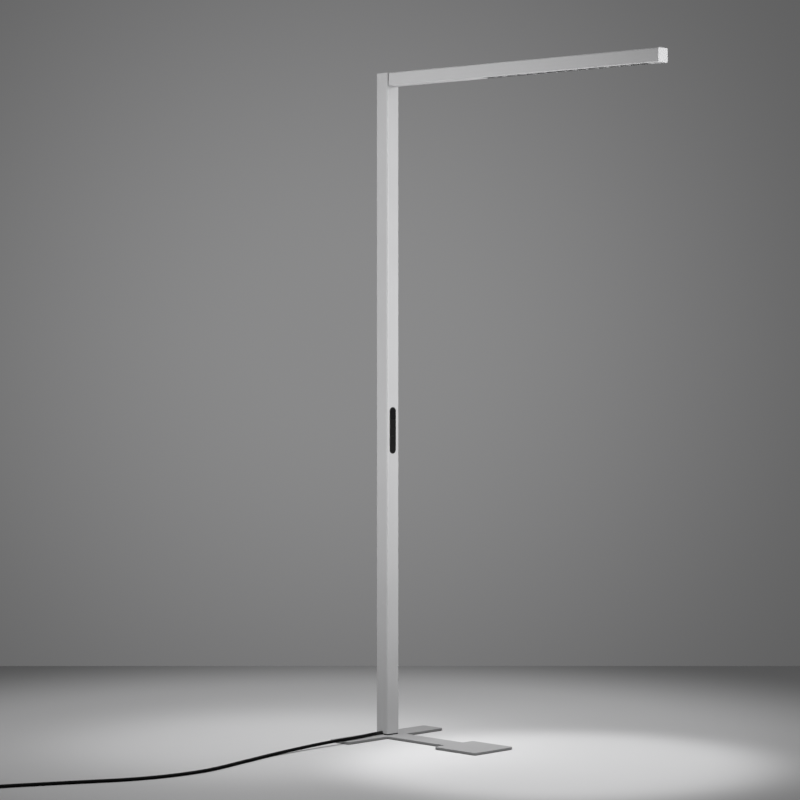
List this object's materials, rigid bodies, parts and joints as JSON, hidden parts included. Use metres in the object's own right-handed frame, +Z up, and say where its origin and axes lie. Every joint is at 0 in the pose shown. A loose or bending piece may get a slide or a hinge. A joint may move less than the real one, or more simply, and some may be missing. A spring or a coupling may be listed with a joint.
{
  "type": "floor_lamp",
  "caption": "Free-standing office lamp: flat T-shaped base, square column with a control strip, slim level arm with a black cross-blade louvre, and a trailing mains cord.",
  "frame": {"origin": "on the floor plane, under the middle of the square column, at the underside of the base felt", "axes": "+X along the arm and the stem of the base, +Y across the arm, +Z up; the mains cord leaves towards -Y"},
  "size_m": [1.3893, 1.6865, 2],
  "materials": {
    "silver_profile": "fine matt silver anodised extrusion",
    "base_paint": "silver powder coat with a fine texture",
    "felt": "black pressed felt",
    "black_plastic": "fine spark-eroded black",
    "black_rubber": "soft matt black",
    "window_black": "smoked gloss",
    "key_black": "satin black",
    "zinc_steel": "zinc plated",
    "cast_block": "as cast and milled",
    "driver_case": "light grey sheet steel",
    "board_green": "solder mask",
    "board_white": "white solder mask",
    "reflector": "satin bright strip",
    "louvre_black": "satin black moulding",
    "clear_lens": "clear moulded lenses",
    "opal_plastic": "opal white",
    "cord_black": "matt black sheath",
    "plug_black": "moulded black",
    "pin_metal": "nickel plated"
  },
  "bodies": {
    "lamp": {"base_felt": "felt", "base_plate": "base_paint", "base_screws": "zinc_steel", "foot_spacer": "black_plastic", "foot_block": "zinc_steel", "foot_set_screws": "zinc_steel", "column": "silver_profile", "column_cap": "silver_profile", "strain_relief": "black_rubber", "inlet_wire": "black_rubber", "terminal_block": "opal_plastic", "driver_tray": "zinc_steel", "driver": "driver_case", "driver_wire": "black_rubber", "control_bezel": "black_plastic", "sensor_window": "window_black", "control_board": "board_green", "key_switches": "black_plastic", "control_screws": "zinc_steel", "control_wire": "black_rubber", "joint_insert": "cast_block", "joint_gasket": "black_rubber", "joint_screws": "zinc_steel", "arm_bracket": "cast_block", "bracket_screws": "zinc_steel", "arm_profile": "silver_profile", "blank_cover": "silver_profile", "end_cover": "silver_profile", "presence_sensor": "window_black", "side_reflectors": "reflector", "louvre": "louvre_black", "lens_strip": "clear_lens", "led_board_down": "board_white", "led_board_up": "board_white", "top_diffuser": "opal_plastic", "arm_end_cap": "silver_profile", "lamp_wire": "black_rubber", "mains_cord": "cord_black", "cord_coil": "cord_black", "cord_tie": "black_plastic", "plug_body": "plug_black", "plug_pins": "pin_metal"},
    "key_up": {"key_up": "key_black"},
    "key_down": {"key_down": "key_black"}
  },
  "joints": [
    {"name": "key_up_press", "type": "slide", "parent": "lamp", "child": "key_up", "axis": [-1, 0, 0], "range_m": [0, 0.0008], "stiffness_N_per_m": 800, "springref_m": -0.0004},
    {"name": "key_down_press", "type": "slide", "parent": "lamp", "child": "key_down", "axis": [-1, 0, 0], "range_m": [0, 0.0008], "stiffness_N_per_m": 800, "springref_m": -0.0004}
  ]
}
